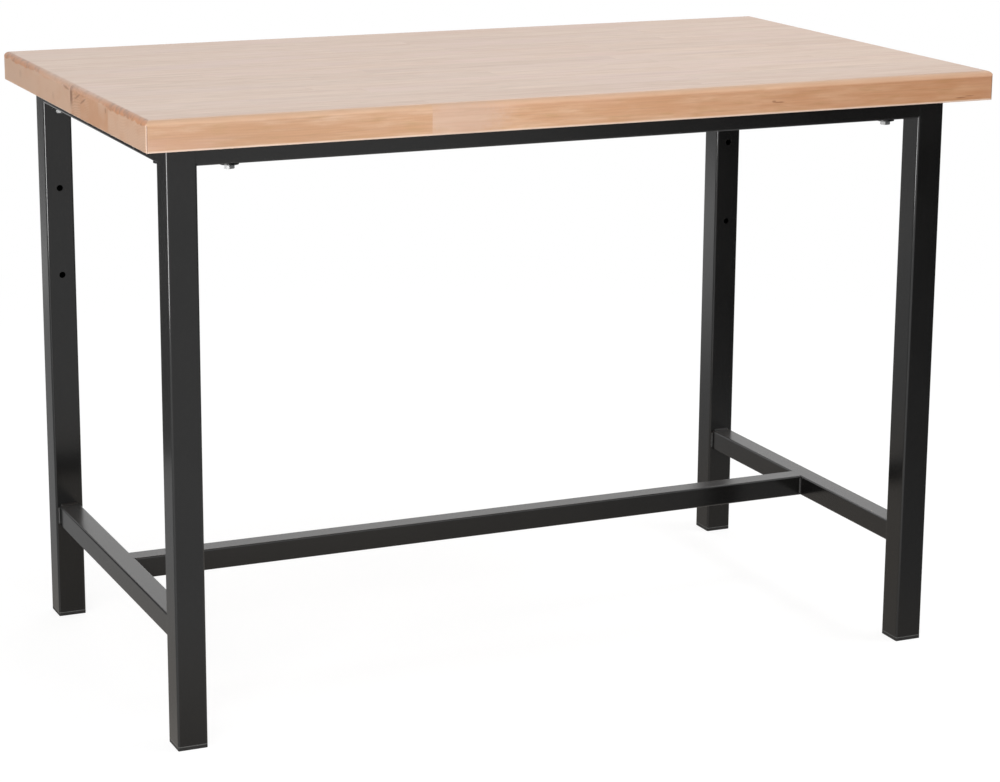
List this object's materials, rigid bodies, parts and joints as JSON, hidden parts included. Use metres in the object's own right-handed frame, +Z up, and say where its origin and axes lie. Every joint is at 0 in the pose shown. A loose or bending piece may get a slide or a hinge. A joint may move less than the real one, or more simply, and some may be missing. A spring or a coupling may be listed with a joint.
{
  "type": "workbench",
  "caption": "Workbench with a thick edge-glued beech worktop on a welded black square-tube frame with low H-shaped stretchers and plastic foot caps.",
  "frame": {"origin": "on the floor below the middle of the worktop's outline", "axes": "+X along the worktop to the right as seen from the front, +Y to the back, +Z up"},
  "size_m": [1.2, 0.68, 0.82],
  "materials": {
    "beech": "satin lacquer",
    "frame": "satin powder coat",
    "cap": "moulded",
    "zinc": "zinc plated",
    "washer": "black oxide",
    "insert": "turned"
  },
  "bodies": {
    "root": {"stave_01_left": "beech", "stave_01_right": "beech", "stave_02": "beech", "stave_03": "beech", "stave_04": "beech", "stave_05": "beech", "stave_06": "beech", "stave_07": "beech", "stave_08": "beech", "stave_09": "beech", "stave_10": "beech", "stave_11": "beech", "stave_12": "beech", "stave_13": "beech", "stave_14": "beech", "stave_15": "beech", "stave_16": "beech", "leg_front_left": "frame", "leg_front_right": "frame", "leg_back_left": "frame", "leg_back_right": "frame", "front_rail": "frame", "back_rail": "frame", "left_rail": "frame", "right_rail": "frame", "left_stretcher": "frame", "right_stretcher": "frame", "centre_stretcher": "frame", "rail_flush_welds": "frame", "rail_inner_welds": "frame", "end_stretcher_welds": "frame", "centre_stretcher_welds": "frame", "centre_stretcher_flush_welds": "frame", "foot_cap_front_left": "cap", "foot_cap_front_right": "cap", "foot_cap_back_left": "cap", "foot_cap_back_right": "cap", "worktop_bolts": "zinc", "bolt_washers": "washer", "threaded_inserts": "insert"}
  },
  "joints": []
}
